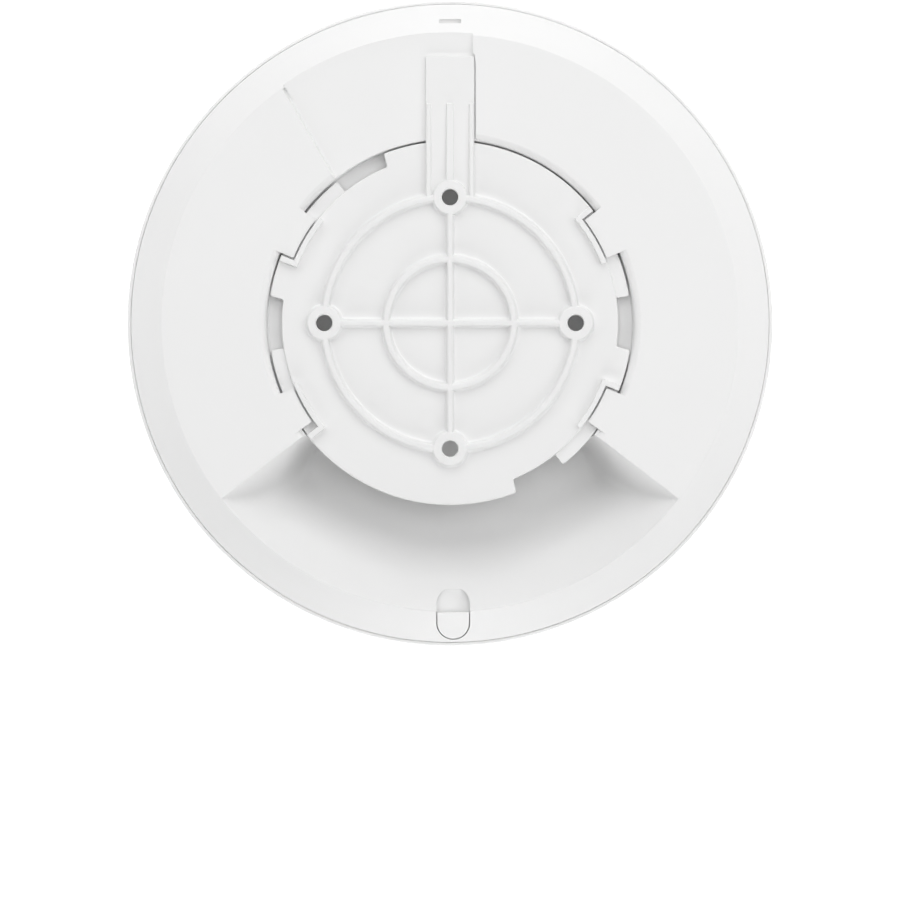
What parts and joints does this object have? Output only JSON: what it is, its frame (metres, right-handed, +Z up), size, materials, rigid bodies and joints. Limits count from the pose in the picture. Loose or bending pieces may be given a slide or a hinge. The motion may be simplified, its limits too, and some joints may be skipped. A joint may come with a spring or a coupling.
{
  "type": "ceiling access point",
  "caption": "Round wireless access point that twists onto a ribbed ceiling bracket with a springy locking arm, with a cable bay and a knockout at its back.",
  "frame": {"origin": "centre of the mounting bracket's ceiling face, on the axis that the housing twists about", "axes": "+Z up into the ceiling, +Y along the bracket's locking arm, -Y towards the cable bay"},
  "size_m": [0.16, 0.16, 0.033],
  "materials": {
    "bracket_plastic": "fine satin moulded white",
    "casing_plastic": "fine satin moulded white",
    "cover_plastic": "smooth satin white",
    "light_guide": "milky translucent",
    "foam": "black closed-cell foam",
    "plated_steel": "nickel plated",
    "tinned_shield": "tin plated sheet",
    "contact_gold": "gold plated",
    "black_plastic": "moulded black",
    "grey_plastic": "moulded grey",
    "circuit_board": "solder mask",
    "chip_resin": "moulded resin",
    "ferrite": "dull ferrite",
    "capacitor_sleeve": "shrink sleeve",
    "aluminium_plate": "plain rolled",
    "thermal_pad": "soft silicone",
    "led_resin": "clear resin"
  },
  "bodies": {
    "mounting_bracket": {"mounting_bracket": "bracket_plastic"},
    "locking_arm": {"locking_arm": "bracket_plastic"},
    "reset_button": {"reset_button": "grey_plastic"},
    "cable_knockout": {"cable_knockout": "casing_plastic"},
    "access_point": {"antenna_1": "plated_steel", "antenna_2": "plated_steel", "antenna_3": "plated_steel", "antenna_4": "plated_steel", "board_screw_1": "plated_steel", "board_screw_2": "plated_steel", "board_screw_3": "plated_steel", "board_screw_4": "plated_steel", "capacitor_1": "capacitor_sleeve", "capacitor_2": "capacitor_sleeve", "capacitor_3": "capacitor_sleeve", "center_cap": "cover_plastic", "clock_crystal": "plated_steel", "flash_chip": "chip_resin", "front_cover": "cover_plastic", "heat_spreader": "aluminium_plate", "jack_contacts": "contact_gold", "jack_housing": "black_plastic", "jack_shield": "tinned_shield", "led_strip": "led_resin", "light_baffle_inner": "foam", "light_baffle_outer": "foam", "light_ring": "light_guide", "main_board": "circuit_board", "memory_left": "chip_resin", "memory_right": "chip_resin", "network_transformer": "chip_resin", "power_inductor_1": "ferrite", "power_inductor_2": "ferrite", "power_transformer": "ferrite", "processor": "chip_resin", "radio_chip_left": "chip_resin", "radio_chip_right": "chip_resin", "rear_casing": "casing_plastic", "reset_switch": "black_plastic", "shield_can_left": "tinned_shield", "shield_can_right": "tinned_shield", "thermal_pad_left": "thermal_pad", "thermal_pad_processor": "thermal_pad", "thermal_pad_right": "thermal_pad"}
  },
  "joints": [
    {"name": "twist_lock", "type": "hinge", "parent": "mounting_bracket", "child": "access_point", "pos_m": [0, 0, 0], "axis": [0, 0, 1], "range_deg": [-30, 0]},
    {"name": "arm_flex", "type": "hinge", "parent": "mounting_bracket", "child": "locking_arm", "pos_m": [0, 0.04475, -0.0014], "axis": [1, 0, 0], "range_deg": [0, 2.5], "stiffness_Nm_per_rad": 1.5},
    {"name": "reset_press", "type": "slide", "parent": "access_point", "child": "reset_button", "axis": [0, 1, 0], "range_m": [0, 0.0004], "stiffness_N_per_m": 1500},
    {"name": "knockout_removal", "type": "slide", "parent": "access_point", "child": "cable_knockout", "axis": [0, 0, 1], "range_m": [0, 0.012]}
  ]
}
